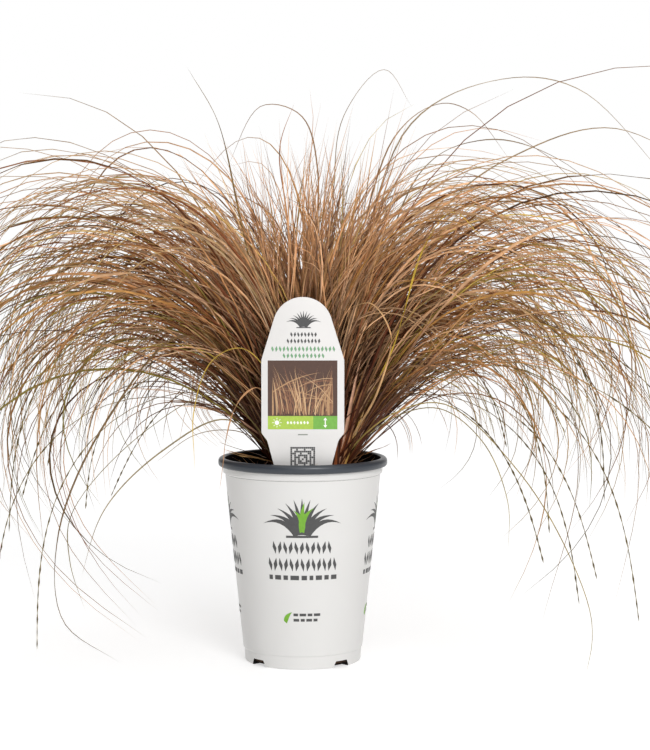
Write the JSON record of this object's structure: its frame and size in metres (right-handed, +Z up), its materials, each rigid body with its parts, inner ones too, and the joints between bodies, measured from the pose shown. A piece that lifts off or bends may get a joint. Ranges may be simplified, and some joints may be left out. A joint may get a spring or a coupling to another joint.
{
  "type": "carex sedge in nursery pot",
  "caption": "Arching clump of fine bronze-brown sedge blades growing in potting mix in a tapered round nursery pot, with an upright stake label at its front.",
  "frame": {"origin": "centre of the flat underside of the pot, on the surface that it stands on", "axes": "+Z up out of the pot, -Y towards the face of the label, +X to the right as the label is looked at; the plant spreads furthest along X"},
  "size_m": [0.5729, 0.4159, 0.3968],
  "materials": {
    "pot_plastic": "smooth moulded white polypropylene, slate grey at the rolled rim and black inside",
    "potting_mix": "dark crumbly bark and peat mix",
    "label_plastic": "smooth white styrene sheet",
    "sedge_blade": "dry satin blades, dark brown in the clump, tan and bronze along their length, olive at the tips"
  },
  "bodies": {
    "root": {"pot": "pot_plastic", "soil": "potting_mix", "label": "label_plastic", "shoot_01": "sedge_blade", "shoot_02": "sedge_blade", "shoot_03": "sedge_blade", "shoot_04": "sedge_blade", "shoot_05": "sedge_blade", "shoot_06": "sedge_blade", "shoot_07": "sedge_blade", "shoot_08": "sedge_blade", "shoot_09": "sedge_blade", "shoot_10": "sedge_blade", "shoot_11": "sedge_blade", "shoot_12": "sedge_blade", "shoot_13": "sedge_blade", "shoot_14": "sedge_blade", "shoot_15": "sedge_blade", "shoot_16": "sedge_blade", "shoot_17": "sedge_blade", "shoot_18": "sedge_blade", "shoot_19": "sedge_blade", "shoot_20": "sedge_blade"}
  },
  "joints": []
}
